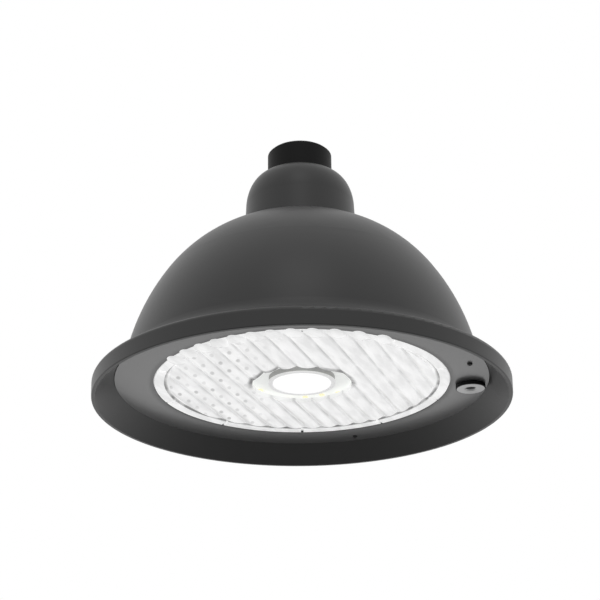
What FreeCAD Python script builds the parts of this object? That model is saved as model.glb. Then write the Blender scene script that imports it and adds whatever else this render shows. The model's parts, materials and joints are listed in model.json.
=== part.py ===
import FreeCAD, Part
import math
import os

from FreeCAD import Vector

# Bell-shaped solar area light. Sizes are millimetres and degrees.
# Heights are worked out upwards from the lip of the rim. The finished pieces are then placed with the
# origin at the mouth of the neck socket, +Z up, and the round fitting on the +X side.

# Shade: rim with a conical return inside it, flange, flare and two tangent dome arcs
RIM_RADIUS = 230.0
RIM_HEIGHT = 19.0
RIM_TAPER = 0.6
RIM_CORNER = 5.0
LIP_ROUND = 1.2
RETURN_INSET = 21.6
RETURN_RISE = 0.6
RETURN_WALL = 2.0
RETURN_LAP = 0.6
SHADE_WALL = 2.0
FLANGE_WIDTH = 31.7
FLANGE_SLOPE = 17.5
FLARE_RADIUS = 24.0
DOME_BASE_HEIGHT = 22.0
DOME_LEAN = 4.7
DOME_LOWER_RADIUS = 254.0
DOME_LOWER_SWEEP = 28.7
DOME_UPPER_RADIUS = 171.2
SHADE_BOSS_RADIUS = 5.0
SHADE_BOSS_HEIGHT = 34.0

# Cap: drafted side, elliptical shoulder and bolt bosses
CAP_BASE_RADIUS = 65.0
CAP_DRAFT = 1.5
CAP_SIDE_HEIGHT = 33.0
CAP_SHOULDER_RISE = 39.2
CAP_TOP_LAND = 2.6
CAP_WALL = 4.0
CAP_BOSS_RADIUS = 6.5
CAP_BOSS_HEIGHT = 20.0
CAP_BOLT_COUNT = 4
CAP_BOLT_RADIUS = 3.0
CAP_BOLT_FLATS = 10.0
CAP_BOLT_HEAD = 4.0
CAP_BOLT_LENGTH = 18.0
CAP_GASKET = 1.5
CAP_GASKET_WIDTH = 3.0

# Neck socket for a 60.3 mm pipe
NECK_BORE_RADIUS = 30.75
NECK_WALL = 7.25
NECK_HEIGHT = 34.0
NECK_EDGE = 2.0
SPIGOT_WALL = 5.25
SOCKET_DEPTH = 70.0
SOCKET_FLOOR = 6.0
SOCKET_LEDGE = 9.0
NECK_SEAL = 1.5
LOCKNUT_WIDTH = 8.0
LOCKNUT_HEIGHT = 10.0
LOCKNUT_SLOTS = 6
LOCKNUT_SLOT = 6.0
SET_SCREW_RADIUS = 4.0
SET_SCREW_DROP = 16.0
SET_SCREW_SPREAD = 35.0
SET_SCREW_HEX = 4.0
SET_SCREW_HEX_DEPTH = 3.5

# Bush where the leads pass through the crown
WIRE_HOLE_RADIUS = 16.0
GROMMET_BORE_RADIUS = 9.0
GROMMET_LIP = 4.0
GROMMET_LIP_HEIGHT = 2.5

# Bottom cover: flat panel inside the rim
PANEL_HEIGHT = 22.7
PANEL_WIDTH = 42.0
COVER_WALL = 1.5
COVER_GASKET_WIDTH = 5.0
COVER_GASKET_INSET = 5.3
COVER_SCREW_TURNS = [-20.0, 70.0, 235.0]
COVER_SCREW_INSET = 16.0
COVER_SCREW_RADIUS = 1.5
COVER_SCREW_HEAD = 2.8
COVER_SCREW_HEAD_HEIGHT = 2.0
COVER_SCREW_EDGE = 0.7
COVER_SCREW_HEX = 2.5
COVER_SCREW_HEX_DEPTH = 1.3
COVER_SCREW_LENGTH = 14.0

# Optic: flange, bead, ribs and middle hole
LENS_LAP = 9.0
LENS_WALL = 3.0
LENS_GASKET = 1.5
LENS_SCREW_COUNT = 5
LENS_SCREW_START = 18.0
LENS_BOSS_RADIUS = 2.6
BEAD_INSET = 1.0
BEAD_WIDTH = 10.5
BEAD_HEIGHT = 2.6
BEAD_GAP = 3.0
BEAD_GAP_COUNT = 10
OPTIC_INSET = 16.0
OPTIC_HOLE_RADIUS = 55.0
RIB_PITCH = 20.0
RIB_HEIGHT = 2.6
RIB_ANGLE = 19.5
RIB_OFFSET = 3.0

# Light engine
PLATE_WALL = 3.0
PLATE_RIM = 2.5
PLATE_LAP = 4.0
PLATE_HOLE_RADIUS = 20.0
PLATE_SCREW_RADIUS = 1.5
PLATE_SCREW_FLATS = 5.5
PLATE_SCREW_HEAD_HEIGHT = 2.0
PLATE_SCREW_LENGTH = 5.5
BOARD_DROP = 4.5
BOARD_WALL = 1.6
BOARD_GAP = 2.0
CHIP_SIZE = 5.0
CHIP_HEIGHT = 1.6
CHIP_PITCH = 20.0
CHIP_EDGE = 12.0

# Motion sensor in the middle of the optic
MOTION_FACE_RADIUS = 32.0
MOTION_FACE_RISE = 0.4
MOTION_BEVEL = 3.0
MOTION_GROOVE = 2.0
MOTION_GROOVE_DEPTH = 0.6
MOTION_BEZEL_RADIUS = 37.5
MOTION_BEZEL_WALL = 1.6
MOTION_BEZEL_EDGE = 0.5
MOTION_BEZEL_DROP = 0.3
MOTION_SPIGOT_WALL = 1.8
MOTION_SPIGOT_HEIGHT = 3.0
MOTION_TUBE_INSET = 0.8
MOTION_TUBE_WALL = 2.5
MOTION_FLANGE = 4.5
MOTION_FLANGE_HEIGHT = 1.5
MOTION_BOARD_RADIUS = 29.0
MOTION_BOARD_WALL = 1.4
DETECTOR_RADIUS = 4.6
DETECTOR_HEIGHT = 2.0

# Round fitting on the panel
SENSOR_INSET = 19.1
SENSOR_RADIUS = 16.4
SENSOR_HEIGHT = 5.0
SENSOR_EDGE = 0.6
SENSOR_RIM = 1.0
SENSOR_RING_DEPTH = 1.5
SENSOR_EYE_RADIUS = 5.4
SENSOR_EYE_DOME = 0.6
SENSOR_SHANK_RADIUS = 6.0
SENSOR_SHANK_LENGTH = 4.0
SENSOR_SEAL = 1.0
SENSOR_SEAL_INSET = 2.0
SENSOR_NUT_FLATS = 15.0
SENSOR_NUT_HEIGHT = 3.0

# Gear on the tray
TRAY_LENGTH = 200.0
TRAY_WIDTH = 170.0
TRAY_WALL = 1.5
TRAY_FLANGE = 12.0
TRAY_INSET = 10.0
STANDOFF_FLATS = 8.0
STANDOFF_HEIGHT = 12.0
STANDOFF_STUD_RADIUS = 2.0
STANDOFF_STUD_LENGTH = 2.5
TRAY_SCREW_RADIUS = 2.0
TRAY_SCREW_FLATS = 7.0
TRAY_SCREW_HEAD_HEIGHT = 2.4
TRAY_SCREW_LENGTH = 7.0
BATTERY_LENGTH = 142.0
BATTERY_WIDTH = 66.0
BATTERY_HEIGHT = 66.0
BATTERY_ROUND = 14.0
BATTERY_OFFSET = -42.0
STRAP_WALL = 1.5
STRAP_WIDTH = 30.0
STRAP_FOOT = 5.0
CONTROLLER_LENGTH = 110.0
CONTROLLER_WIDTH = 56.0
CONTROLLER_HEIGHT = 30.0
CONTROLLER_OFFSET = 38.0
CONTROLLER_FIN_COUNT = 7
CONTROLLER_FIN_DEPTH = 9.0
CONTROLLER_FIN_WALL = 3.0
TERMINAL_POLES = 5
TERMINAL_PITCH = 10.0
TERMINAL_WIDTH = 16.0
TERMINAL_HEIGHT = 17.0
TERMINAL_STEP = 6.0
TERMINAL_HOLE = 4.8
TERMINAL_OFFSET = 75.0

# Clearances
SLIP = 0.3
THREAD = 0.05

UP = Vector(0, 0, 1)
ORIGIN = Vector(0, 0, 0)


def at(radius, height):
    """Point of a half section in the XZ plane."""
    return Vector(radius, 0, height)


def inset(corner, first_normal, second_normal, depth):
    """Corner of two faces after both have moved inwards by a depth."""
    share = depth / (1 + first_normal.dot(second_normal))
    return corner - (first_normal + second_normal) * share


def backwards(start, steps):
    """The same run of steps, drawn from its end to its start."""
    ends = [start] + [end for _, end in steps]
    turned_round = [(centre, ends[index]) for index, (centre, _) in enumerate(steps)]
    return ends[-1], turned_round[::-1]


class Section:
    """Closed outline in the XZ plane, drawn from point to point."""

    def __init__(self, start):
        self.start = start
        self.here = start
        self.edges = []

    def add(self, curve, end):
        self.edges.append(curve.toShape())
        self.here = end
        return self

    def line(self, *ends):
        for end in ends:
            self.add(Part.LineSegment(self.here, end), end)
        return self

    def arc(self, centre, end):
        middle = (self.here - centre) + (end - centre)
        middle.normalize()
        reach = (end - centre).Length
        return self.add(Part.Arc(self.here, centre + middle * reach, end), end)

    def arc_through(self, middle, end):
        return self.add(Part.Arc(self.here, middle, end), end)

    def follow(self, steps):
        for centre, end in steps:
            if centre is None:
                self.line(end)
            else:
                self.arc(centre, end)
        return self

    def shoulder(self, centre, width, rise):
        """Quarter ellipse from the side of a shoulder up to its top."""
        top = centre + at(0, rise)
        ellipse = Part.Ellipse(top, centre + at(width, 0), centre)
        return self.add(Part.ArcOfEllipse(ellipse, 0, math.pi / 2), top)

    def face(self):
        self.line(self.start)
        return Part.Face(Part.Wire(Part.__sortEdges__(self.edges)))

    def turned(self):
        return self.face().revolve(ORIGIN, UP, 360)

    def swept(self, width):
        """The outline carried along Y, the same way to both sides."""
        face = self.face()
        face.translate(Vector(0, -width / 2, 0))
        return face.extrude(Vector(0, width, 0))


def disc(radius, low, high, x=0.0, y=0.0):
    return Part.makeCylinder(radius, high - low, Vector(x, y, low))


def ring(inner, outer, low, high, x=0.0, y=0.0):
    return disc(outer, low, high, x, y).cut(disc(inner, low, high, x, y))


def block(length, width, low, high, x=0.0, y=0.0):
    return Part.makeBox(length, width, high - low, Vector(x - length / 2, y - width / 2, low))


def hexagon(flats, low, high, x=0.0, y=0.0):
    reach = flats / math.sqrt(3)
    corners = [Vector(x + reach * math.cos(turn), y + reach * math.sin(turn), low)
               for turn in (math.radians(60 * side) for side in range(7))]
    return Part.Face(Part.makePolygon(corners)).extrude(UP * (high - low))


def circle_places(count, radius, start):
    """Evenly spaced places on a circle, from a starting angle."""
    turns = [math.radians(start + 360.0 * index / count) for index in range(count)]
    return [(radius * math.cos(turn), radius * math.sin(turn)) for turn in turns]


def corner_places(length, width):
    return [(x, y) for x in (-length / 2, length / 2) for y in (-width / 2, width / 2)]


def spun(shape, degrees):
    turned = shape.copy()
    turned.rotate(ORIGIN, UP, degrees)
    return turned


def joined(shapes):
    return shapes[0].multiFuse(shapes[1:]).removeSplitter()


def without(shape, cutters):
    return shape.cut(Part.makeCompound(cutters))


# Shade lines
lip_radius = RIM_RADIUS - RIM_TAPER
rim_corner = at(RIM_RADIUS, RIM_HEIGHT)
rim_lean = math.atan2(RIM_TAPER, RIM_HEIGHT)
rim_normal = at(math.cos(rim_lean), -math.sin(rim_lean))
flange_slope = math.radians(FLANGE_SLOPE)
flange_normal = at(math.sin(flange_slope), math.cos(flange_slope))
flange_inwards = at(-math.cos(flange_slope), math.sin(flange_slope))
dome_lean = math.radians(DOME_LEAN)
dome_turn = math.radians(DOME_LEAN + DOME_LOWER_SWEEP)
dome_base_radius = RIM_RADIUS - FLANGE_WIDTH
lower_centre = at(dome_base_radius - DOME_LOWER_RADIUS * math.cos(dome_lean),
                  DOME_BASE_HEIGHT - DOME_LOWER_RADIUS * math.sin(dome_lean))
dome_heading = at(math.cos(dome_turn), math.sin(dome_turn))
upper_centre = lower_centre + dome_heading * (DOME_LOWER_RADIUS - DOME_UPPER_RADIUS)
crown_reach = CAP_BASE_RADIUS - upper_centre.x
crown_height = upper_centre.z + math.sqrt(DOME_UPPER_RADIUS ** 2 - crown_reach ** 2)
crown_under = crown_height - SHADE_WALL

# Cap and neck heights
cap_shoulder_radius = CAP_BASE_RADIUS - CAP_DRAFT
cap_shoulder_height = crown_height + CAP_SIDE_HEIGHT
cap_top = cap_shoulder_height + CAP_SHOULDER_RISE
cap_under = cap_top - CAP_WALL
neck_radius = NECK_BORE_RADIUS + NECK_WALL
cap_top_radius = neck_radius + CAP_TOP_LAND
shoulder_width = cap_shoulder_radius - cap_top_radius
spigot_radius = NECK_BORE_RADIUS + SPIGOT_WALL
neck_shoulder = cap_top + NECK_SEAL
neck_top = cap_top + NECK_HEIGHT
socket_stop = neck_top - SOCKET_DEPTH
spigot_foot = socket_stop - SOCKET_FLOOR
cap_bolt_circle = CAP_BASE_RADIUS - CAP_WALL - CAP_BOSS_RADIUS
cap_bolt_places = circle_places(CAP_BOLT_COUNT, cap_bolt_circle, 180.0 / CAP_BOLT_COUNT)

# Cover lines, and the return that ends at the cover
panel_top = PANEL_HEIGHT + COVER_WALL
return_top = at(RIM_RADIUS - RETURN_INSET, PANEL_HEIGHT + RETURN_RISE)
return_foot = at(lip_radius - SHADE_WALL / math.cos(rim_lean) + RETURN_LAP, 0)
return_width = at(RETURN_WALL * (return_top - return_foot).Length / return_top.z, 0)
panel_radius = return_top.x - return_width.x - SLIP
opening_radius = panel_radius - PANEL_WIDTH
cover_screw_circle = panel_radius - COVER_SCREW_INSET
cover_gasket_inside = panel_radius - COVER_GASKET_INSET
cover_screw_places = [circle_places(1, cover_screw_circle, turn)[0] for turn in COVER_SCREW_TURNS]

# Optic and light engine lines
lens_low = panel_top + LENS_GASKET
lens_high = lens_low + LENS_WALL
lens_radius = opening_radius + LENS_LAP
lens_screw_circle = lens_radius + SLIP + LENS_BOSS_RADIUS
lens_screw_places = circle_places(LENS_SCREW_COUNT, lens_screw_circle, LENS_SCREW_START)
bead_outer = opening_radius - BEAD_INSET
optic_radius = opening_radius - OPTIC_INSET
chip_low = lens_high + BOARD_DROP - CHIP_HEIGHT
board_low = lens_high + BOARD_DROP
board_high = board_low + BOARD_WALL
plate_high = board_high + PLATE_WALL
plate_wall_inside = optic_radius + BOARD_GAP
plate_rim_high = lens_high + PLATE_RIM

# Motion sensor lines
motion_tube_outside = MOTION_BEZEL_RADIUS - MOTION_TUBE_INSET
motion_tube_inside = motion_tube_outside - MOTION_TUBE_WALL
motion_low = lens_low - MOTION_BEZEL_DROP
motion_seat = motion_low + MOTION_BEZEL_WALL
motion_board_low = board_low - MOTION_BOARD_WALL

# Round fitting lines
sensor_x = panel_radius - SENSOR_INSET
sensor_low = PANEL_HEIGHT - SENSOR_HEIGHT
sensor_high = PANEL_HEIGHT - SENSOR_SEAL
sensor_ring_radius = SENSOR_RADIUS - SENSOR_RIM

# Tray lines
tray_low = plate_high + STANDOFF_HEIGHT
tray_floor = tray_low + TRAY_WALL
standoff_places = corner_places(TRAY_LENGTH - 2 * TRAY_INSET, TRAY_WIDTH - 2 * TRAY_INSET)
battery_top = tray_floor + BATTERY_HEIGHT


def flange_meets_dome(corner, reach):
    """Point where a line along the flange, from a corner, meets a circle about the lower dome's centre."""
    away = corner - lower_centre
    along = away.dot(flange_inwards)
    travel = -along - math.sqrt(along ** 2 - away.dot(away) + reach ** 2)
    return corner + flange_inwards * travel


def dome_steps(depth):
    """The two dome arcs up to the crown, at a depth inside the outer face."""
    crown = crown_height - depth
    rise = crown - upper_centre.z
    crown_radius = upper_centre.x + math.sqrt((DOME_UPPER_RADIUS - depth) ** 2 - rise ** 2)
    return [
        (lower_centre, lower_centre + dome_heading * (DOME_LOWER_RADIUS - depth)),
        (upper_centre, at(crown_radius, crown)),
    ]


def shade_outside():
    """Lip of the shade and its outer face from there to the crown, with round corners and a flare."""
    lip_centre = inset(at(lip_radius, 0), rim_normal, -UP, LIP_ROUND)
    corner_centre = inset(rim_corner, rim_normal, flange_normal, RIM_CORNER)
    raised_corner = rim_corner + flange_normal * FLARE_RADIUS
    flare_centre = flange_meets_dome(raised_corner, DOME_LOWER_RADIUS + FLARE_RADIUS)
    flare_heading = (lower_centre - flare_centre).normalize()
    return lip_centre - UP * LIP_ROUND, [
        (lip_centre, lip_centre + rim_normal * LIP_ROUND),
        (None, corner_centre + rim_normal * RIM_CORNER),
        (corner_centre, corner_centre + flange_normal * RIM_CORNER),
        (None, flare_centre - flange_normal * FLARE_RADIUS),
        (flare_centre, flare_centre + flare_heading * FLARE_RADIUS),
    ] + dome_steps(0)


def shade_inside(depth):
    """Lip and side of the shade at a depth inside its outer face, with plain corners."""
    corner = inset(rim_corner, rim_normal, flange_normal, depth)
    root = flange_meets_dome(corner, DOME_LOWER_RADIUS - depth)
    return at(lip_radius - depth / math.cos(rim_lean), 0), [(None, corner), (None, root)] + dome_steps(depth)


def shade_room(depth):
    """Solid that fills the shade up to a depth inside its outer face."""
    lip, steps = shade_inside(depth)
    return Section(at(0, 0)).line(lip).follow(steps).line(at(0, crown_height - depth)).turned()


def rim_return():
    """Inner wall of the rim: a cone from the lip up to the edge of the panel."""
    outline = Section(return_top).line(return_foot, return_foot - return_width, return_top - return_width)
    return outline.turned()


def shade():
    outer_lip, outer_steps = shade_outside()
    inner_crown, inner_return = backwards(*shade_inside(SHADE_WALL))
    wall = Section(outer_lip).follow(outer_steps)
    wall.line(at(WIRE_HOLE_RADIUS, crown_height), at(WIRE_HOLE_RADIUS, crown_under), inner_crown)
    shell = wall.follow(inner_return).turned()
    boss_top = panel_top + SHADE_BOSS_HEIGHT
    bosses = []
    for turn, (x, y) in zip(COVER_SCREW_TURNS, cover_screw_places):
        web_length = cover_gasket_inside - SLIP - cover_screw_circle
        web = Part.makeBox(web_length, SHADE_BOSS_RADIUS, SHADE_BOSS_HEIGHT,
                           Vector(cover_screw_circle, -SHADE_BOSS_RADIUS / 2, panel_top))
        bosses.append(disc(SHADE_BOSS_RADIUS, panel_top, boss_top, x, y).fuse(spun(web, turn)))
    above_cover = disc(RIM_RADIUS, panel_top, boss_top)
    inside = shade_room(SHADE_WALL / 2).common(above_cover)
    body = joined([shell, rim_return()] + [boss.common(inside) for boss in bosses])
    pilots = [disc(COVER_SCREW_RADIUS + THREAD, panel_top, panel_top + COVER_SCREW_LENGTH, x, y)
              for x, y in cover_screw_places]
    bolt_holes = [disc(CAP_BOLT_RADIUS + SLIP, crown_under, crown_height, x, y) for x, y in cap_bolt_places]
    return without(body, pilots + bolt_holes)


def cap_bulk(depth, top):
    """Solid cap with its outline at a depth, closed at a top height, a plain cone inside its shoulder."""
    shoulder = at(cap_shoulder_radius - depth, cap_shoulder_height)
    outline = Section(at(0, crown_height)).line(at(CAP_BASE_RADIUS - depth, crown_height), shoulder)
    if depth == 0:
        outline.shoulder(at(cap_top_radius, cap_shoulder_height), shoulder_width, CAP_SHOULDER_RISE)
    else:
        outline.line(at(cap_top_radius, top))
    return outline.line(at(0, top)).turned()


def cap():
    outer = cap_bulk(0, cap_top)
    shell = outer.cut(cap_bulk(CAP_WALL, cap_under))
    boss_top = crown_height + CAP_BOSS_HEIGHT
    bosses = []
    for index, (x, y) in enumerate(cap_bolt_places):
        web = Part.makeBox(CAP_BOSS_RADIUS + CAP_WALL, 2 * CAP_BOSS_RADIUS, CAP_BOSS_HEIGHT,
                           Vector(cap_bolt_circle, -CAP_BOSS_RADIUS, crown_height))
        turn = (index + 0.5) * 360.0 / CAP_BOLT_COUNT
        bosses.append(disc(CAP_BOSS_RADIUS, crown_height, boss_top, x, y).fuse(spun(web, turn)))
    inside = cap_bulk(CAP_WALL / 2, cap_under)
    body = joined([shell] + [boss.common(inside) for boss in bosses])
    nut_seat = disc(spigot_radius + LOCKNUT_WIDTH + SLIP, cap_under - LOCKNUT_HEIGHT, cap_under)
    cuts = [disc(spigot_radius + SLIP, cap_under, cap_top), nut_seat, cap_gasket()]
    cuts += [disc(CAP_BOLT_RADIUS + THREAD, crown_height, crown_height + CAP_BOLT_LENGTH, x, y)
             for x, y in cap_bolt_places]
    return without(body, cuts)


def cap_gasket():
    inner = CAP_BASE_RADIUS - (CAP_WALL + CAP_GASKET_WIDTH) / 2
    return ring(inner, inner + CAP_GASKET_WIDTH, crown_height, crown_height + CAP_GASKET)


def cap_bolts():
    bolts = []
    for x, y in cap_bolt_places:
        head = hexagon(CAP_BOLT_FLATS, crown_under - CAP_BOLT_HEAD, crown_under, x, y)
        shank = disc(CAP_BOLT_RADIUS, crown_under, crown_under + CAP_BOLT_LENGTH, x, y)
        bolts.append(joined([head, shank]))
    return Part.makeCompound(bolts)


def set_screw_turns():
    return [90.0 - SET_SCREW_SPREAD, 90.0 + SET_SCREW_SPREAD]


def neck_socket():
    outline = Section(at(NECK_BORE_RADIUS - SOCKET_LEDGE, spigot_foot))
    outline.line(at(spigot_radius, spigot_foot), at(spigot_radius, neck_shoulder))
    outline.line(at(neck_radius, neck_shoulder), at(neck_radius, neck_top - NECK_EDGE))
    outline.line(at(neck_radius - NECK_EDGE, neck_top))
    outline.line(at(NECK_BORE_RADIUS, neck_top), at(NECK_BORE_RADIUS, socket_stop))
    outline.line(at(NECK_BORE_RADIUS - SOCKET_LEDGE, socket_stop))
    body = outline.turned()
    hole = Part.makeCylinder(SET_SCREW_RADIUS + THREAD, neck_radius, Vector(0, 0, neck_top - SET_SCREW_DROP),
                             Vector(1, 0, 0))
    return without(body, [spun(hole, turn) for turn in set_screw_turns()])


def socket_set_screws():
    height = neck_top - SET_SCREW_DROP
    tip = Vector(NECK_BORE_RADIUS + SLIP, 0, height)
    length = NECK_WALL - 2 * SLIP
    along = Vector(1, 0, 0)
    body = Part.makeCylinder(SET_SCREW_RADIUS, length, tip, along)
    drive = hexagon(SET_SCREW_HEX, 0, SET_SCREW_HEX_DEPTH)
    drive.rotate(ORIGIN, Vector(0, 1, 0), 90)
    drive.translate(tip + along * (length - SET_SCREW_HEX_DEPTH))
    screw = body.cut(drive)
    return Part.makeCompound([spun(screw, turn) for turn in set_screw_turns()])


def neck_seal():
    return ring(spigot_radius + SLIP, neck_radius - SLIP, cap_top, neck_shoulder)


def neck_locknut():
    low = cap_under - LOCKNUT_HEIGHT
    outer = spigot_radius + LOCKNUT_WIDTH
    nut = ring(spigot_radius + THREAD, outer, low, cap_under)
    slot = block(LOCKNUT_WIDTH, LOCKNUT_SLOT, low, cap_under - LOCKNUT_HEIGHT / 2, outer)
    return without(nut, [spun(slot, 360.0 * index / LOCKNUT_SLOTS) for index in range(LOCKNUT_SLOTS)])


def wire_grommet():
    lip = WIRE_HOLE_RADIUS + GROMMET_LIP
    waist = WIRE_HOLE_RADIUS - THREAD
    low = crown_under - GROMMET_LIP_HEIGHT
    high = crown_height + GROMMET_LIP_HEIGHT
    outline = Section(at(GROMMET_BORE_RADIUS, low)).line(at(lip, low), at(lip, crown_under))
    outline.line(at(waist, crown_under), at(waist, crown_height), at(lip, crown_height), at(lip, high))
    outline.line(at(GROMMET_BORE_RADIUS, high))
    return outline.turned()


def bottom_cover():
    panel = ring(opening_radius, panel_radius, PANEL_HEIGHT, panel_top)
    boss_top = lens_high - THREAD
    bosses = [disc(LENS_BOSS_RADIUS, PANEL_HEIGHT, boss_top, x, y) for x, y in lens_screw_places]
    pilots = [disc(PLATE_SCREW_RADIUS + THREAD, panel_top, boss_top, x, y) for x, y in lens_screw_places]
    screw_holes = [disc(COVER_SCREW_RADIUS + SLIP, PANEL_HEIGHT, panel_top, x, y)
                   for x, y in cover_screw_places]
    fitting_hole = disc(SENSOR_SHANK_RADIUS + SLIP, PANEL_HEIGHT, panel_top, sensor_x)
    return without(joined([panel] + bosses), pilots + screw_holes + [fitting_hole])


def cover_screws():
    """Button-head screws with a hexagon socket, up through the panel into the shade's bosses."""
    low = PANEL_HEIGHT - COVER_SCREW_HEAD_HEIGHT
    tip = panel_top + COVER_SCREW_LENGTH
    outline = Section(at(0, low)).line(at(COVER_SCREW_HEAD - COVER_SCREW_EDGE, low))
    outline.line(at(COVER_SCREW_HEAD, low + COVER_SCREW_EDGE), at(COVER_SCREW_HEAD, PANEL_HEIGHT))
    outline.line(at(COVER_SCREW_RADIUS, PANEL_HEIGHT), at(COVER_SCREW_RADIUS, tip), at(0, tip))
    socket = hexagon(COVER_SCREW_HEX, low, low + COVER_SCREW_HEX_DEPTH)
    screw = outline.turned().cut(socket)
    return Part.makeCompound([screw.translated(Vector(x, y, 0)) for x, y in cover_screw_places])


def cover_gasket():
    outer = cover_gasket_inside + COVER_GASKET_WIDTH
    band = ring(cover_gasket_inside, outer, panel_top, panel_top + RIM_HEIGHT)
    return band.common(shade_room(SHADE_WALL))


def lens():
    optic = ring(OPTIC_HOLE_RADIUS, optic_radius, lens_low - RIB_HEIGHT, lens_high)
    flange = ring(optic_radius, lens_radius, lens_low, lens_high)
    bead = ring(bead_outer - BEAD_WIDTH, bead_outer, lens_low - BEAD_HEIGHT, lens_low)
    gap = block(2 * BEAD_WIDTH, BEAD_GAP, lens_low - BEAD_HEIGHT, lens_low, bead_outer - BEAD_WIDTH / 2)
    gaps = [spun(gap, LENS_SCREW_START + 360.0 * index / BEAD_GAP_COUNT) for index in range(BEAD_GAP_COUNT)]
    return joined([rib_sheet().common(optic), flange, without(bead, gaps)])


def rib_sheet():
    """Flat sheet with parallel half-round ribs under it, wide enough for the whole optic."""
    side = math.ceil(optic_radius / RIB_PITCH) + 1
    first = RIB_OFFSET - (side + 0.5) * RIB_PITCH
    outline = Section(at(first, lens_high)).line(at(first, lens_low))
    for index in range(2 * side + 1):
        left = first + index * RIB_PITCH
        crest = at(left + RIB_PITCH / 2, lens_low - RIB_HEIGHT)
        outline.arc_through(crest, at(left + RIB_PITCH, lens_low))
    outline.line(at(outline.here.x, lens_high))
    return spun(outline.swept(2 * optic_radius + RIB_PITCH), -RIB_ANGLE)


def lens_gasket():
    return ring(opening_radius + SLIP, lens_radius - SLIP, panel_top, lens_low)


def heat_plate():
    inside = plate_wall_inside
    outside = inside + PLATE_WALL
    rim = lens_screw_circle + PLATE_LAP
    outline = Section(at(PLATE_HOLE_RADIUS, board_high)).line(at(inside, board_high), at(inside, lens_high))
    outline.line(at(rim, lens_high), at(rim, plate_rim_high), at(outside, plate_rim_high))
    outline.line(at(outside, plate_high), at(PLATE_HOLE_RADIUS, plate_high))
    holes = [disc(PLATE_SCREW_RADIUS + SLIP, lens_high, plate_rim_high, x, y) for x, y in lens_screw_places]
    studs = [disc(STANDOFF_STUD_RADIUS + THREAD, board_high, plate_high, x, y) for x, y in standoff_places]
    return without(outline.turned(), holes + studs)


def plate_screws():
    tip = plate_rim_high - PLATE_SCREW_LENGTH
    head = plate_rim_high + PLATE_SCREW_HEAD_HEIGHT
    return Part.makeCompound([joined([disc(PLATE_SCREW_RADIUS, tip, plate_rim_high, x, y),
                                      hexagon(PLATE_SCREW_FLATS, plate_rim_high, head, x, y)])
                              for x, y in lens_screw_places])


def led_board():
    return ring(PLATE_HOLE_RADIUS, optic_radius, board_low, board_high)


def led_chips():
    """Light-emitting packages in rows along the ribs, clear of the middle and of the edge."""
    chips = []
    side = math.ceil(optic_radius / CHIP_PITCH)
    for row in range(-side, side + 1):
        across = RIB_OFFSET + row * RIB_PITCH
        for step in range(-side, side + 1):
            along = step * CHIP_PITCH
            reach = math.hypot(across, along)
            if OPTIC_HOLE_RADIUS + CHIP_SIZE < reach < optic_radius - CHIP_EDGE:
                chip = block(CHIP_SIZE, CHIP_SIZE, chip_low, board_low, across, along)
                chips.append(spun(chip, -RIB_ANGLE))
    return Part.makeCompound(chips)


def motion_sensor_collar():
    """Tube from the board to the back of the sensor's face, with a flange turned inwards on the board."""
    flange = motion_tube_inside - MOTION_FLANGE
    flange_low = board_low - MOTION_FLANGE_HEIGHT
    outline = Section(at(motion_tube_inside, motion_seat)).line(at(motion_tube_outside, motion_seat))
    outline.line(at(motion_tube_outside, board_low), at(flange, board_low), at(flange, flange_low))
    return outline.line(at(motion_tube_inside, flange_low)).turned()


def motion_sensor_lens():
    """Round face with a raised middle in a groove, and a spigot that fits inside the collar."""
    raised = motion_low - MOTION_FACE_RISE
    groove_top = motion_low + MOTION_GROOVE_DEPTH
    groove_end = MOTION_FACE_RADIUS + MOTION_GROOVE
    spigot = motion_tube_inside - SLIP
    spigot_top = motion_seat + MOTION_SPIGOT_HEIGHT
    spigot_inside = spigot - MOTION_SPIGOT_WALL
    outline = Section(at(0, raised)).line(at(MOTION_FACE_RADIUS - MOTION_BEVEL, raised))
    outline.line(at(MOTION_FACE_RADIUS, motion_low), at(MOTION_FACE_RADIUS, groove_top))
    outline.line(at(groove_end, groove_top), at(groove_end, motion_low))
    outline.line(at(MOTION_BEZEL_RADIUS - MOTION_BEZEL_EDGE, motion_low))
    outline.line(at(MOTION_BEZEL_RADIUS, motion_low + MOTION_BEZEL_EDGE))
    outline.line(at(MOTION_BEZEL_RADIUS, motion_seat), at(spigot, motion_seat))
    outline.line(at(spigot, spigot_top), at(spigot_inside, spigot_top))
    return outline.line(at(spigot_inside, motion_seat), at(0, motion_seat)).turned()


def motion_sensor_board():
    return disc(MOTION_BOARD_RADIUS, motion_board_low, board_low)


def motion_detector():
    return disc(DETECTOR_RADIUS, motion_board_low - DETECTOR_HEIGHT, motion_board_low)


def sensor_body():
    """Round body with a bevelled lower edge, a recess for the face ring and a shank through the panel."""
    recess = sensor_low + SENSOR_RING_DEPTH
    shank_top = panel_top + SENSOR_SHANK_LENGTH
    outline = Section(at(0, recess)).line(at(sensor_ring_radius, recess), at(sensor_ring_radius, sensor_low))
    outline.line(at(SENSOR_RADIUS - SENSOR_EDGE, sensor_low), at(SENSOR_RADIUS, sensor_low + SENSOR_EDGE))
    outline.line(at(SENSOR_RADIUS, sensor_high), at(SENSOR_SHANK_RADIUS, sensor_high))
    outline.line(at(SENSOR_SHANK_RADIUS, shank_top), at(0, shank_top))
    return on_panel(outline.turned())


def on_panel(shape):
    placed = shape.copy()
    placed.translate(Vector(sensor_x, 0, 0))
    return placed


def sensor_ring():
    high = sensor_low + SENSOR_RING_DEPTH
    bevel = SENSOR_EYE_RADIUS + SENSOR_RING_DEPTH
    outer = sensor_ring_radius - THREAD
    outline = Section(at(SENSOR_EYE_RADIUS, high)).line(at(outer, high), at(outer, sensor_low))
    return on_panel(outline.line(at(bevel, sensor_low), at(SENSOR_EYE_RADIUS, high - THREAD)).turned())


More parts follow.
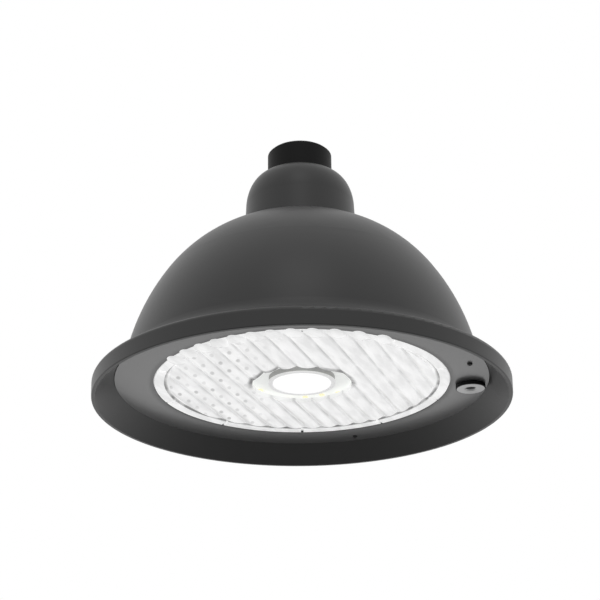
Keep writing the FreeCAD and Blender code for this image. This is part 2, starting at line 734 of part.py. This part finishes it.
def sensor_window():
    """Low lens over the eye, in the bevelled mouth of the ring."""
    high = sensor_low + SENSOR_RING_DEPTH
    radius = SENSOR_EYE_RADIUS - THREAD
    dome = at(radius / 2, high - SENSOR_EYE_DOME * 3 / 4)
    outline = Section(at(0, high - SENSOR_EYE_DOME)).arc_through(dome, at(radius, high - THREAD))
    return on_panel(outline.line(at(radius, high), at(0, high)).turned())


def sensor_seal():
    outer = SENSOR_RADIUS - SENSOR_SEAL_INSET
    return on_panel(ring(SENSOR_SHANK_RADIUS + SLIP, outer, sensor_high, PANEL_HEIGHT))


def sensor_nut():
    top = panel_top + SENSOR_NUT_HEIGHT
    thread = disc(SENSOR_SHANK_RADIUS + THREAD, panel_top, top)
    return on_panel(hexagon(SENSOR_NUT_FLATS, panel_top, top).cut(thread))


def folded_strip(points, wall, width):
    """Sheet bent along a line of points, with its wall on the left of the line."""
    line = [at(x, height) for x, height in points]
    headings = [(after - before).normalize() for before, after in zip(line, line[1:])]
    normals = [at(-heading.z, heading.x) for heading in headings]
    sides = zip(line, normals[:1] + normals, normals + normals[-1:])
    other_line = [inset(point, before, after, -wall) for point, before, after in sides]
    return Section(line[0]).line(*line[1:], *other_line[::-1]).swept(width)


def gear_tray():
    side = TRAY_WIDTH / 2 - TRAY_WALL
    top = tray_floor + TRAY_FLANGE
    path = [(side, top), (side, tray_floor), (-side, tray_floor), (-side, top)]
    channel = spun(folded_strip(path, TRAY_WALL, TRAY_LENGTH), 90)
    holes = [disc(TRAY_SCREW_RADIUS + SLIP, tray_low, tray_floor, x, y) for x, y in standoff_places]
    return without(channel, holes)


def tray_standoffs():
    studs = []
    for x, y in standoff_places:
        post = hexagon(STANDOFF_FLATS, plate_high, tray_low, x, y)
        stud = disc(STANDOFF_STUD_RADIUS, plate_high - STANDOFF_STUD_LENGTH, plate_high, x, y)
        pilot = disc(TRAY_SCREW_RADIUS + THREAD, tray_floor - TRAY_SCREW_LENGTH, tray_low, x, y)
        studs.append(joined([post, stud]).cut(pilot))
    return Part.makeCompound(studs)


def tray_screws():
    tip = tray_floor - TRAY_SCREW_LENGTH
    head = tray_floor + TRAY_SCREW_HEAD_HEIGHT
    return Part.makeCompound([joined([disc(TRAY_SCREW_RADIUS, tip, tray_floor, x, y),
                                      hexagon(TRAY_SCREW_FLATS, tray_floor, head, x, y)])
                              for x, y in standoff_places])


def battery_pack():
    """Shrink-wrapped cells: a long block whose edges have the round of the cells."""
    pack = block(BATTERY_LENGTH, BATTERY_WIDTH, tray_floor, battery_top, 0, BATTERY_OFFSET)
    long_edges = [edge for edge in pack.Edges if abs(edge.tangentAt(edge.FirstParameter).x) > 0.5]
    return pack.makeFillet(BATTERY_ROUND, long_edges)


def battery_strap():
    half = BATTERY_WIDTH / 2 + SLIP
    top = battery_top + SLIP
    foot = half + STRAP_FOOT
    rising = [(-foot, tray_floor), (-half, tray_floor), (-half, top)]
    path = rising + [(-x, height) for x, height in rising[::-1]]
    strap = spun(folded_strip(path, STRAP_WALL, STRAP_WIDTH), 90)
    strap.translate(Vector(0, BATTERY_OFFSET, 0))
    return strap


def charge_controller():
    """Aluminium case with cooling fins along its top."""
    top = tray_floor + CONTROLLER_HEIGHT
    case = block(CONTROLLER_LENGTH, CONTROLLER_WIDTH, tray_floor, top, 0, CONTROLLER_OFFSET)
    spacing = (CONTROLLER_WIDTH - CONTROLLER_FIN_WALL) / (CONTROLLER_FIN_COUNT - 1)
    first = CONTROLLER_OFFSET - CONTROLLER_WIDTH / 2 + CONTROLLER_FIN_WALL / 2 + spacing / 2
    low = top - CONTROLLER_FIN_DEPTH
    grooves = [block(CONTROLLER_LENGTH, spacing - CONTROLLER_FIN_WALL, low, top, 0, first + index * spacing)
               for index in range(CONTROLLER_FIN_COUNT - 1)]
    return without(case, grooves)


def terminal_block():
    """Stepped moulding with a wire hole and a screw well for each pole."""
    half = TERMINAL_WIDTH / 2
    top = tray_floor + TERMINAL_HEIGHT
    step = top - TERMINAL_STEP
    length = TERMINAL_POLES * TERMINAL_PITCH
    outline = Section(at(-half, tray_floor)).line(at(half, tray_floor), at(half, step))
    outline.line(at(half - TERMINAL_STEP, top), at(TERMINAL_STEP - half, top), at(-half, step))
    body = outline.swept(length)
    middle = (tray_floor + step) / 2
    cuts = []
    for pole in range(TERMINAL_POLES):
        y = (pole + 0.5) * TERMINAL_PITCH - length / 2
        cuts.append(block(TERMINAL_WIDTH, TERMINAL_HOLE, middle - TERMINAL_HOLE, middle, 0, y))
        cuts.append(disc(TERMINAL_HOLE / 2, middle, top, 0, y))
    placed = without(body, cuts)
    placed.translate(Vector(TERMINAL_OFFSET, CONTROLLER_OFFSET, 0))
    return placed


PIECES = [
    neck_socket, socket_set_screws, neck_seal, neck_locknut, cap, cap_gasket, cap_bolts, wire_grommet, shade,
    bottom_cover, cover_screws, cover_gasket, lens, lens_gasket, heat_plate, plate_screws, led_board,
    led_chips, motion_sensor_collar, motion_sensor_lens, motion_sensor_board, motion_detector, sensor_body,
    sensor_ring, sensor_window, sensor_seal, sensor_nut, gear_tray, tray_standoffs, tray_screws,
    battery_pack, battery_strap, charge_controller, terminal_block,
]

os.makedirs("parts", exist_ok=True)
for piece in PIECES:
    shape = piece()
    shape.translate(Vector(0, 0, -neck_top))
    shape.exportStep("parts/" + piece.__name__ + ".step")
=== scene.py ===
import json
import math

import bpy
from mathutils import Matrix, Vector


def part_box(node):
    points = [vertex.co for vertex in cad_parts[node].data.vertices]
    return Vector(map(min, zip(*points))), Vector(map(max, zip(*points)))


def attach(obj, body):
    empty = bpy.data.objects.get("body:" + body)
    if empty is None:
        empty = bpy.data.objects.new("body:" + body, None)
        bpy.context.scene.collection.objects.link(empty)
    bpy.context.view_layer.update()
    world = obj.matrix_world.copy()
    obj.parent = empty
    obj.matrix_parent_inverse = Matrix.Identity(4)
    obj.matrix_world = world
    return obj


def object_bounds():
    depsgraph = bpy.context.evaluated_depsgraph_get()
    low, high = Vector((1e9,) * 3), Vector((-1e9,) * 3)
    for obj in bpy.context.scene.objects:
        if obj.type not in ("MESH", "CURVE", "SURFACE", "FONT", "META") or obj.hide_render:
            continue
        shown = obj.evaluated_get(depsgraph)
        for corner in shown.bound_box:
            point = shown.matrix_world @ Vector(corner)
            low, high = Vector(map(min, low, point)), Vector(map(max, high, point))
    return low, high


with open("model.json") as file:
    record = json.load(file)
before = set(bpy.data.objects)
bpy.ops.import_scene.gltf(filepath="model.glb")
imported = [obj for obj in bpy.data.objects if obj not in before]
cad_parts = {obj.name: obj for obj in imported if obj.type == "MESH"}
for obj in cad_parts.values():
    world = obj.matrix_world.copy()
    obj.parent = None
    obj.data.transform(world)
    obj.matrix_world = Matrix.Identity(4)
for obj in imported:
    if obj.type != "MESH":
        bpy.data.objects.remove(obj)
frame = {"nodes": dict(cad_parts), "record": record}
cad_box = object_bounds()
nodes = frame["nodes"]

# Camera: pixels of the photograph, film in millimetres, metres from the middle of the lip, degrees
PHOTO_PIXELS = 600
FOCAL_PIXELS = 1281.4
FILM_WIDTH = 36.0
CAMERA_FROM_LIP = Vector((-0.0012, -1.3323, -0.4694))
CAMERA_PITCH = 24.13
CAMERA_ROLL = 0.567

# Studio, in metres and watts, with the floor's tones and the radii between which it fades; its grey
# middle is a painted shadow under the lamp
FLOOR_DROP = 0.85
FLOOR_RADIUS = 2.0
FLOOR_SIDES = 96
FLOOR_SHADOW_TONE = 0.42
FLOOR_EDGE = 1.0
FLOOR_FADE = (0.4, 1.8)
ROOM_BRIGHTNESS = 1.0
SOFTBOX_PLACE = Vector((0.0, -1.46, 1.36))
SOFTBOX_SIZE = 0.9
SOFTBOX_POWER = 2.2

# Optic: lay of the ribs in metres and degrees, and radii of the edges, as in the solids
RIB_PITCH = 0.020
RIB_ANGLE = 19.5
RIB_OFFSET = 0.003
OPTIC_RADIUS = 0.1474
OPTIC_HOLE = 0.055
BEAD_INSIDE = 0.1519
PANEL_OPENING = 0.1634

# Optic: painted shade, highlight streaks and chips seen through it, in metres; a pair is where a smooth
# step begins and ends
HOLE_SHADE = 0.0075
CHANNEL_HEIGHT = (0.0004, 0.0016)
NEAR_HALF = (0.016, -0.008)
BESIDE_TUBE = (0.012, 0.030)
DOTTED_SIDE = (-0.02, -0.08)
PLAIN_SIDE = (0.02, 0.08)
CHIP_PITCH = 0.024
CHIP_SPOT = (0.0032, 0.0012)
PATCH_GRAIN = 0.016
FADING_GRAIN = 0.030
HIGHLIGHT_STREAK_GRAIN = 0.011

# Optic: tones; valley, channel and hole tones are painted shade, rib tones hold painted highlight
# streaks, and the chip tone paints chips seen through
RIB_HIGHLIGHT_TONES = (0.82, 0.98)
VALLEY_SHADE_TONE = 0.50
CHANNEL_SHADE_TONE = 0.22
HOLE_SHADE_TONE = 0.16
CHIP_SEEN_TONE = 0.40

# Rounded rib ends over the near bead, in metres: rows, radius of the tips, half sizes, crease in degrees
RIB_END_ROWS = range(-5, 7)
RIB_END_TIP = 0.1672
RIB_END_REACH = 0.0150
RIB_END_WIDTH = 0.0092
RIB_END_DROP = 0.0016
RIB_END_SIDES = 24
RIB_END_RINGS = 6
RIB_END_CREASE = 50

# Motion sensor: radius of its white face in metres, its rings in radians a metre, and its tones; the
# LIGHT tones colour its painted glow
MOTION_FACE = 0.032
MOTION_RINGS = 2400.0
BEZEL_TONE = 0.78
BEZEL_LIGHT = 0.42
FACE_TONES = (0.93, 0.97)
FACE_LIGHT = 0.95

# Round fitting: circles of the lathe in radians a metre, and tones of its face
LATHE_CIRCLES = 9000.0
RING_TONES = (0.36, 0.46)

# Painted glow: light from within the optic, the motion sensor's face, the board and the chips
OPTIC_GLOW = 0.25
SENSOR_GLOW = 0.38
BOARD_GLOW = 0.78
CHIP_GLOW = 0.35

# Panel: weight of its clear coat, how much is taken away beside the optic as a painted shadow, and where
# from the optic, in metres
CLEAR_WEIGHT = 0.67
CLEAR_SHADOW_CUT = 0.37
SHADOW_EDGE = (0.007, 0.001)

# Powder coat: grains in metres, and where and how much dust lies on it
DRIFT_GRAIN = 0.11
SPECK_GRAIN = 0.0006
PEEL_GRAIN = 0.0016
DUST_GRAIN = 0.03
DUST_SLOPE = (0.80, 1.0)
DUST_SHARE = 0.12
DUST_TONE = 0.32

# Other finishes: grains in metres, and how the streaks of drawn metal are stretched
MOULD_GRAIN = 0.0005
CLOUD_GRAIN = 0.02
TINT_GRAIN = 0.012
RING_GRAIN = 0.006
DRAWN_STRETCH = (0.05, 1.0, 1.0)


class Field:
    """A node's output that takes part in Python sums."""

    def __init__(self, finish, socket):
        self.finish = finish
        self.socket = socket

    def maths(self, operation, first, second=0.0):
        return self.finish.add("ShaderNodeMath", {"operation": operation}, {0: first, 1: second})

    def __add__(self, other):
        return self.maths("ADD", self, other)

    def __radd__(self, other):
        return self.maths("ADD", other, self)

    def __sub__(self, other):
        return self.maths("SUBTRACT", self, other)

    def __rsub__(self, other):
        return self.maths("SUBTRACT", other, self)

    def __mul__(self, other):
        return self.maths("MULTIPLY", self, other)

    def __rmul__(self, other):
        return self.maths("MULTIPLY", other, self)

    def __truediv__(self, other):
        return self.maths("DIVIDE", self, other)

    def __abs__(self):
        return self.maths("ABSOLUTE", self)

    def root(self):
        return self.maths("SQRT", self)

    def sine(self):
        return self.maths("SINE", self)

    def past_nearest(self):
        """Signed distance past the nearest whole number, from minus a half to a half."""
        return self.maths("FRACT", self + 0.5) - 0.5


class Finish:
    """A material made of nodes around one Principled shader."""

    def __init__(self, name, **constants):
        self.material = bpy.data.materials.new(name)
        self.material.use_nodes = True
        self.tree = self.material.node_tree
        self.shader = self.tree.nodes["Principled BSDF"]
        self.give(**constants)

    def feed(self, node, socket, value):
        if isinstance(value, Field):
            self.tree.links.new(value.socket, node.inputs[socket])
        else:
            node.inputs[socket].default_value = value

    def add(self, kind, settings=None, sockets=None, output=0):
        """New node of a kind, with its settings first and then its sockets; gives one of its outputs."""
        node = self.tree.nodes.new(kind)
        for name, value in (settings or {}).items():
            setattr(node, name, value)
        for socket, value in (sockets or {}).items():
            self.feed(node, socket, value)
        return Field(self, node.outputs[output])

    def give(self, **values):
        """Values or fields for the shader's own sockets."""
        for name, value in values.items():
            self.feed(self.shader, name.replace("_", " "), value)

    def place(self):
        """Point of the surface in the lamp's frame, in metres."""
        return self.add("ShaderNodeTexCoord", output="Object")

    def parts(self, vector):
        node = self.add("ShaderNodeSeparateXYZ", sockets={0: vector}).socket.node
        return [Field(self, output) for output in node.outputs]

    def reach(self, middle=(0.0, 0.0)):
        """Distance of the surface from an upright axis, in metres."""
        x, y, _ = self.parts(self.place())
        off_x = x - middle[0]
        off_y = y - middle[1]
        return (off_x * off_x + off_y * off_y).root()

    def noise(self, place, grain, detail=2.0):
        """Smooth random field from 0 to 1 with a grain size in metres."""
        sockets = {"Vector": place, "Scale": 1 / grain, "Detail": detail}
        return self.add("ShaderNodeTexNoise", sockets=sockets)

    def step(self, value, low, high):
        """Smooth step from 0 at low to 1 at high."""
        sockets = {"Value": value, "From Min": low, "From Max": high}
        return self.add("ShaderNodeMapRange", {"interpolation_type": "SMOOTHSTEP"}, sockets)

    def blend(self, share, low, high):
        """Colour between two colours."""
        sockets = {"Factor": share, 6: low, 7: high}
        return self.add("ShaderNodeMix", {"data_type": "RGBA"}, sockets, output=2)

    def relief(self, height, depth):
        """Normal of a fine relief with a depth in metres."""
        return self.add("ShaderNodeBump", sockets={"Height": height, "Distance": depth, "Strength": 1.0})


def grey(level, warmth=0.0):
    """Near-neutral colour of one level."""
    return (level * (1 + warmth), level, level * (1 - warmth), 1.0)


def coated_metal(name, level, shine, roughness, peel_depth):
    """Powder coat: uneven tone and gloss over fine orange peel, with dust on faces that look up."""
    finish = Finish(name, Specular_IOR_Level=shine)
    place = finish.place()
    drift = finish.noise(place, DRIFT_GRAIN, 3.0)
    speck = finish.noise(place, SPECK_GRAIN, 1.0)
    peel = finish.noise(place, PEEL_GRAIN, 2.0)
    facing = finish.add("ShaderNodeNewGeometry", output="Normal")
    upwards = finish.parts(facing)[2]
    dust = finish.step(upwards, *DUST_SLOPE) * finish.noise(place, DUST_GRAIN, 4.0) * DUST_SHARE
    tone = finish.blend(drift, grey(level * 0.93), grey(level * 1.07))
    colour = finish.blend(dust, tone, grey(DUST_TONE, 0.02))
    matt = roughness - 0.04 + 0.06 * drift + 0.03 * speck + 0.3 * dust
    finish.give(Base_Color=colour, Roughness=matt, Normal=finish.relief(peel, peel_depth))
    return finish


def panel_coat():
    """Grey powder coat under a clear coat that thins beside the optic, a painted shadow along its edge.
    """
    finish = coated_metal("panel_coat", level=0.050, shine=0.5, roughness=0.42, peel_depth=0.00002)
    from_optic = finish.reach() - PANEL_OPENING
    # Clear coat thinned beside the optic: painted shadow where the panel meets the lens
    shadow_share = finish.step(from_optic, *SHADOW_EDGE)
    finish.give(Coat_Weight=CLEAR_WEIGHT - CLEAR_SHADOW_CUT * shadow_share, Coat_Roughness=0.22, Coat_IOR=1.5)
    return finish


def optic_edges(finish, place, reach):
    """Shares of the painted shade in the channel inside the bead and along the near edge of the hole."""
    x, y, z = finish.parts(place)
    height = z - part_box("lens")[0].z
    patches = finish.step(finish.noise(place, PATCH_GRAIN, 2.0), 0.35, 0.60)
    # Darker channel inside the bead: painted shade in the groove
    channel_inside = finish.step(reach, OPTIC_RADIUS, BEAD_INSIDE - 0.001)
    channel_outside = finish.step(reach, BEAD_INSIDE + 0.001, BEAD_INSIDE)
    in_channel = finish.step(height, *CHANNEL_HEIGHT)
    channel = channel_inside * channel_outside * in_channel * (0.55 + 0.40 * patches)
    # Dark band along the near edge of the hole, beside the tube: painted shade of the tube's wall
    hole_inside = finish.step(reach, OPTIC_HOLE + HOLE_SHADE, OPTIC_HOLE + 0.002)
    near_half = finish.step(y, *NEAR_HALF)
    beside = finish.step(abs(x), *BESIDE_TUBE)
    hole_edge_shade = hole_inside * near_half * beside * (0.65 + 0.35 * patches)
    return channel, hole_edge_shade


def chip_spots(finish, off_row, along):
    """Share of the small spots over the chips, painted where they show through, drawn out along Y."""
    turn = math.radians(RIB_ANGLE)
    off_chip = (along / CHIP_PITCH).past_nearest() * CHIP_PITCH
    off_x = off_row * math.cos(turn) + off_chip * math.sin(turn)
    off_y = off_chip * math.cos(turn) - off_row * math.sin(turn)
    return finish.step((off_x * off_x + off_y * off_y * 0.2).root(), *CHIP_SPOT)


def optic_clear():
    """Clear ribbed moulding over the white board: painted shade lines in the valleys, painted highlight
    streaks, faint chips painted under the crests.
    """
    finish = Finish("optic_clear", Roughness=0.16, IOR=1.58)
    place = finish.place()
    x, y, _ = finish.parts(place)
    turn = math.radians(RIB_ANGLE)
    across = x * math.cos(turn) - y * math.sin(turn)
    along = x * math.sin(turn) + y * math.cos(turn)
    reach = finish.reach()
    on_optic = finish.step(reach, OPTIC_RADIUS, OPTIC_RADIUS - 0.002)
    fading = finish.step(finish.noise(place, FADING_GRAIN, 1.0), 0.35, 0.65)
    dotted_side = finish.step(x, *DOTTED_SIDE)
    plain_side = finish.step(x, *PLAIN_SIDE)
    # Darker lines in the valleys between ribs: painted shade, fainter towards each side
    past_row = ((across - RIB_OFFSET) / RIB_PITCH).past_nearest()
    line_strength = 0.45 + 0.40 * fading - 0.25 * dotted_side - 0.20 * plain_side
    valley_shade = finish.step(abs(past_row), 0.34, 0.50) * on_optic * line_strength
    # Spots over the chips on the left side: painted view of the chips through the optic
    spots = chip_spots(finish, past_row * RIB_PITCH, along)
    chip = spots * on_optic * dotted_side * (0.3 + 0.5 * fading)
    channel, hole_edge_shade = optic_edges(finish, place, reach)
    # Lighter streaks along the ribs: painted highlights
    rib_place = finish.add("ShaderNodeCombineXYZ", sockets={0: across, 1: along * 0.25})
    streak = finish.step(finish.noise(rib_place, HIGHLIGHT_STREAK_GRAIN, 2.0), 0.3, 0.7)
    tone = finish.blend(streak, *map(grey, RIB_HIGHLIGHT_TONES))
    lined = finish.blend(valley_shade, tone, grey(VALLEY_SHADE_TONE))
    ringed = finish.blend(channel, lined, grey(CHANNEL_SHADE_TONE))
    holed = finish.blend(hole_edge_shade, ringed, grey(HOLE_SHADE_TONE))
    seen = finish.blend(chip, holed, grey(CHIP_SEEN_TONE))
    # Painted glow in the same tones as the surface
    finish.give(Base_Color=seen, Emission_Color=seen, Emission_Strength=OPTIC_GLOW)
    return finish


def sensor_white():
    """White lens plastic with faint rings and a painted glow, stronger on the face than on the bezel."""
    finish = Finish("sensor_white", Roughness=0.35)
    reach = finish.reach()
    rings = (reach * MOTION_RINGS).sine()
    face = finish.step(reach, MOTION_FACE + 0.0006, MOTION_FACE)
    cloud = finish.noise(finish.place(), CLOUD_GRAIN, 2.0)
    white = finish.blend(cloud, *map(grey, FACE_TONES))
    seen = finish.blend(face, grey(BEZEL_TONE), white)
    light = finish.blend(face, grey(BEZEL_LIGHT), grey(FACE_LIGHT))
    finish.give(Base_Color=seen, Normal=finish.relief(rings, 0.00002))
    finish.give(Emission_Color=light, Emission_Strength=SENSOR_GLOW)
    return finish


def moulded(name, level, roughness, shine=0.5):
    """Moulded plastic or rubber with a fine spark-eroded grain."""
    finish = Finish(name, Specular_IOR_Level=shine)
    place = finish.place()
    grain = finish.noise(place, MOULD_GRAIN, 2.0)
    cloud = finish.noise(place, CLOUD_GRAIN, 2.0)
    finish.give(Base_Color=finish.blend(cloud, grey(level * 0.9), grey(level * 1.1)),
                Roughness=roughness - 0.05 + 0.1 * grain, Normal=finish.relief(grain, 0.00002))
    return finish


def tinted(name, colour, roughness, glow=0.0):
    """Coloured plastic, resin or film with a soft unevenness, with a painted glow where a glow is given.
    """
    finish = Finish(name)
    cloud = finish.noise(finish.place(), TINT_GRAIN, 3.0)
    darker = tuple(channel * 0.85 for channel in colour[:3]) + (1.0,)
    seen = finish.blend(cloud, darker, colour)
    finish.give(Base_Color=seen, Roughness=roughness - 0.05 + 0.1 * cloud)
    if glow:
        finish.give(Emission_Color=seen, Emission_Strength=glow)
    return finish


def bare_metal(name, level, roughness, grain=0.004):
    """Bare metal with fine drawn streaks along X."""
    finish = Finish(name, Metallic=1.0)
    sockets = {0: finish.place(), 1: DRAWN_STRETCH}
    stretched = finish.add("ShaderNodeVectorMath", {"operation": "MULTIPLY"}, sockets)
    streak = finish.noise(stretched, grain / 8, 3.0)
    finish.give(Base_Color=finish.blend(streak, grey(level * 0.9), grey(level * 1.08)),
                Roughness=roughness - 0.08 + 0.16 * streak, Normal=finish.relief(streak, 0.00001))
    return finish


def turned_ring():
    """Silver face turned on a lathe: fine circles about the fitting's own middle."""
    low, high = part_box("sensor_ring")
    middle = (low + high) / 2
    finish = Finish("turned_ring", Metallic=0.75)
    circles = (finish.reach(middle) * LATHE_CIRCLES).sine()
    cloud = finish.noise(finish.place(), RING_GRAIN, 2.0)
    finish.give(Base_Color=finish.blend(cloud, *map(grey, RING_TONES)), Roughness=0.32 + 0.08 * cloud,
                Normal=finish.relief(circles, 0.00001))
    return finish


FINISHES = {
    "shade_paint": coated_metal("shade_coat", level=0.005, shine=0.5, roughness=0.40, peel_depth=0.00003),
    "neck_paint": coated_metal("socket_coat", level=0.004, shine=0.11, roughness=0.5, peel_depth=0.00005),
    "panel_paint": panel_coat(),
    "dark_zinc": coated_metal("screw_zinc", level=0.006, shine=0.3, roughness=0.40, peel_depth=0.00001),
    "optic_plastic": optic_clear(),
    "white_plastic": sensor_white(),
    "black_plastic": moulded("black_moulding", level=0.004, roughness=0.5, shine=0.15),
    "grey_plastic": moulded("grey_moulding", level=0.42, roughness=0.5),
    "smoked_plastic": moulded("smoked_window", level=0.004, roughness=0.3, shine=0.04),
    "seal_rubber": moulded("seal_rubber", level=0.012, roughness=0.8, shine=0.2),
    "silver_metal": turned_ring(),
    "sheet_metal": bare_metal("sheet_aluminium", level=0.7, roughness=0.35),
    "screw_steel": bare_metal("zinc_steel", level=0.55, roughness=0.3, grain=0.002),
    "board_white": tinted("board_white", (0.60, 0.61, 0.60, 1.0), roughness=0.45, glow=BOARD_GLOW),
    "chip_resin": tinted("chip_resin", (0.92, 0.84, 0.55, 1.0), roughness=0.25, glow=CHIP_GLOW),
    "board_green": tinted("board_green", (0.03, 0.17, 0.06, 1.0), roughness=0.35),
    "battery_wrap": tinted("battery_wrap", (0.03, 0.08, 0.26, 1.0), roughness=0.2),
}

for subpart in frame["record"]["subparts"]:
    nodes[subpart["node"]].material_slots[0].material = FINISHES[subpart["material_slot"]].material


def placed(name, data):
    """New object of the scene."""
    thing = bpy.data.objects.new(name, data)
    bpy.context.scene.collection.objects.link(thing)
    return thing


def full_turn(sides):
    """Evenly spaced angles around a circle."""
    return [2 * math.pi * side / sides for side in range(sides)]


def rib_end(points, faces, middle):
    """Shallow dome that hangs from the bead, longer along the rib than across it."""
    lean = math.radians(RIB_ANGLE)
    outwards = Vector((-math.sin(lean), -math.cos(lean), 0))
    sideways = Vector((-outwards.y, outwards.x, 0))
    start = len(points)
    for ring in range(RIB_END_RINGS):
        spread = 1 - ring / RIB_END_RINGS
        level = middle - Vector((0, 0, RIB_END_DROP * (1 - spread ** 3)))
        for turn in full_turn(RIB_END_SIDES):
            along = outwards * RIB_END_REACH * math.cos(turn)
            across = sideways * RIB_END_WIDTH * math.sin(turn)
            points.append(level + (along + across) * spread)
    pole = len(points)
    points.append(middle - Vector((0, 0, RIB_END_DROP)))
    faces.append([start + side for side in range(RIB_END_SIDES)])
    for ring in range(RIB_END_RINGS):
        for side in range(RIB_END_SIDES):
            here = start + ring * RIB_END_SIDES + side
            beside = start + ring * RIB_END_SIDES + (side + 1) % RIB_END_SIDES
            if ring < RIB_END_RINGS - 1:
                faces.append([beside, here, here + RIB_END_SIDES, beside + RIB_END_SIDES])
            else:
                faces.append([beside, here, pole])


def lens_rib_ends():
    """Rounded ends of the optic's ribs, over the bead along the near side."""
    bead_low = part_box("lens")[0].z
    turn = math.radians(RIB_ANGLE)
    points = []
    faces = []
    for row in RIB_END_ROWS:
        across = RIB_OFFSET + row * RIB_PITCH
        along = RIB_END_REACH - math.sqrt(RIB_END_TIP ** 2 - across ** 2)
        x = across * math.cos(turn) + along * math.sin(turn)
        y = along * math.cos(turn) - across * math.sin(turn)
        rib_end(points, faces, Vector((x, y, bead_low)))
    mesh = bpy.data.meshes.new("lens_rib_ends")
    mesh.from_pydata(points, [], faces)
    mesh.shade_smooth()
    mesh.set_sharp_from_angle(angle=math.radians(RIB_END_CREASE))
    mesh.materials.append(FINISHES["optic_plastic"].material)
    piece = placed("lens_rib_ends", mesh)
    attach(piece, "root")


def floor_paper():
    """Matt paper with a painted shadow: grey under the lamp and white towards its edge."""
    finish = Finish("floor_paper", Roughness=0.9, Specular_IOR_Level=0.1)
    outwards = finish.step(finish.reach(), *FLOOR_FADE)
    finish.give(Base_Color=finish.blend(outwards, grey(FLOOR_SHADOW_TONE), grey(FLOOR_EDGE)))
    return finish


def studio():
    """Pale floor with a painted shadow under the lamp, an evenly bright room and one softbox above the
    camera.
    """
    lip = cad_box[0].z
    mesh = bpy.data.meshes.new("studio_floor")
    turns = full_turn(FLOOR_SIDES)
    edge = [(FLOOR_RADIUS * math.cos(turn), FLOOR_RADIUS * math.sin(turn), 0) for turn in turns]
    mesh.from_pydata(edge, [], [list(range(FLOOR_SIDES))])
    mesh.materials.append(floor_paper().material)
    floor = placed("studio_floor", mesh)
    floor.location = (0, 0, lip - FLOOR_DROP)
    light = bpy.data.lights.new("softbox", "AREA")
    light.size = SOFTBOX_SIZE
    light.energy = SOFTBOX_POWER
    softbox = placed("softbox", light)
    softbox.location = SOFTBOX_PLACE
    softbox.rotation_euler = SOFTBOX_PLACE.to_track_quat("Z", "Y").to_euler()
    world = bpy.data.worlds.new("studio_room")
    world.use_nodes = True
    room = world.node_tree.nodes["Background"]
    room.inputs["Color"].default_value = grey(1.0)
    room.inputs["Strength"].default_value = ROOM_BRIGHTNESS
    bpy.context.scene.world = world
    bpy.context.scene.view_settings.view_transform = "Standard"


def camera():
    """Camera below and in front of the lamp, looking up, as the photograph was taken."""
    data = bpy.data.cameras.new("photo_camera")
    data.sensor_width = FILM_WIDTH
    data.lens = FOCAL_PIXELS / PHOTO_PIXELS * FILM_WIDTH
    eye = placed("photo_camera", data)
    lip_middle = Vector((0, 0, cad_box[0].z))
    tilt = Matrix.Rotation(math.radians(90 + CAMERA_PITCH), 4, "X")
    roll = Matrix.Rotation(-math.radians(CAMERA_ROLL), 4, "Z")
    eye.matrix_world = Matrix.Translation(lip_middle + CAMERA_FROM_LIP) @ tilt @ roll
    bpy.context.scene.camera = eye


lens_rib_ends()
studio()
camera()
